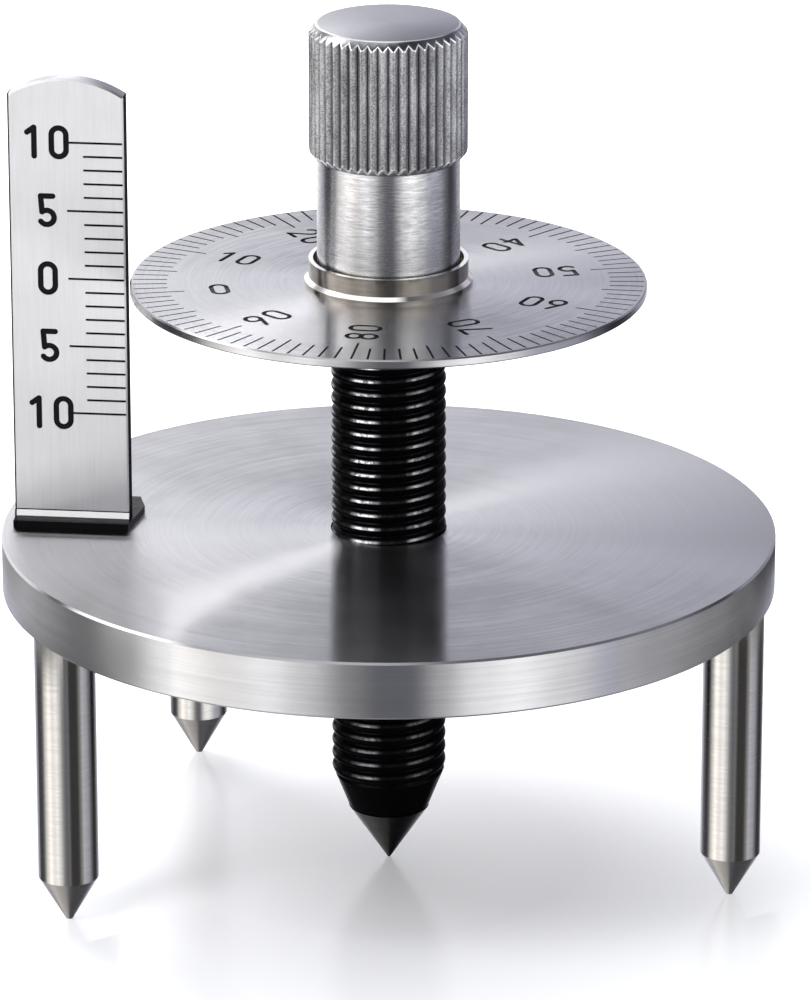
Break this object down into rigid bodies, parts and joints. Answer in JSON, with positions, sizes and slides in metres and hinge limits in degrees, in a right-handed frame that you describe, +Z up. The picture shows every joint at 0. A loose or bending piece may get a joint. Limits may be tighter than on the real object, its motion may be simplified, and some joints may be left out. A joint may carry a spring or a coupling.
{
  "type": "spherometer",
  "caption": "Spherometer: round plate on three pointed legs, central lead screw with divided dial and knurled knob, and an upright scale at its side.",
  "frame": {"origin": "on the screw's axis, level with the tips of the three legs", "axes": "+Z up along the screw's axis; -Y towards the viewer of the picture; the upright scale stands on the -X side"},
  "size_m": [0.0554, 0.0554, 0.0627],
  "materials": {
    "base_steel": "fine turned, satin",
    "leg_steel": "fine turned, bright",
    "scale_steel": "satin, black-filled engraving",
    "foot_black": "blackened, satin",
    "screw_black": "black oxide, oiled gloss",
    "dial_steel": "circular turned, black-filled engraving",
    "collar_nickel": "polished nickel",
    "knob_steel": "turned barrel, straight knurled head",
    "nut_brass": "machined",
    "fastener_steel": "machined"
  },
  "bodies": {
    "base": {"base_plate": "base_steel", "leg_left": "leg_steel", "leg_right": "leg_steel", "leg_rear": "leg_steel", "lead_nut": "nut_brass", "nut_screws": "fastener_steel", "scale_plate": "scale_steel", "scale_foot": "foot_black", "foot_screws": "foot_black", "plate_pins": "fastener_steel"},
    "point": {"measuring_point": "screw_black"},
    "spindle": {"lead_screw": "screw_black", "point_ring": "fastener_steel", "dial_washer": "fastener_steel", "dial_disc": "dial_steel", "dial_dowel": "fastener_steel", "dial_collar": "collar_nickel", "knob_barrel": "knob_steel", "barrel_grub": "fastener_steel", "knob_head": "knob_steel"}
  },
  "joints": [
    {"name": "spindle_travel", "type": "slide", "parent": "base", "child": "point", "axis": [0, 0, 1], "range_m": [-0.01, 0.01]},
    {"name": "spindle_turn", "type": "hinge", "parent": "point", "child": "spindle", "pos_m": [0, 0, 0.02], "axis": [0, 0, 1], "range_deg": [-3600, 3600]}
  ],
  "couplings": [
    {"joint": "spindle_travel", "follows": "spindle_turn", "m_per_rad": 0.00015915}
  ]
}
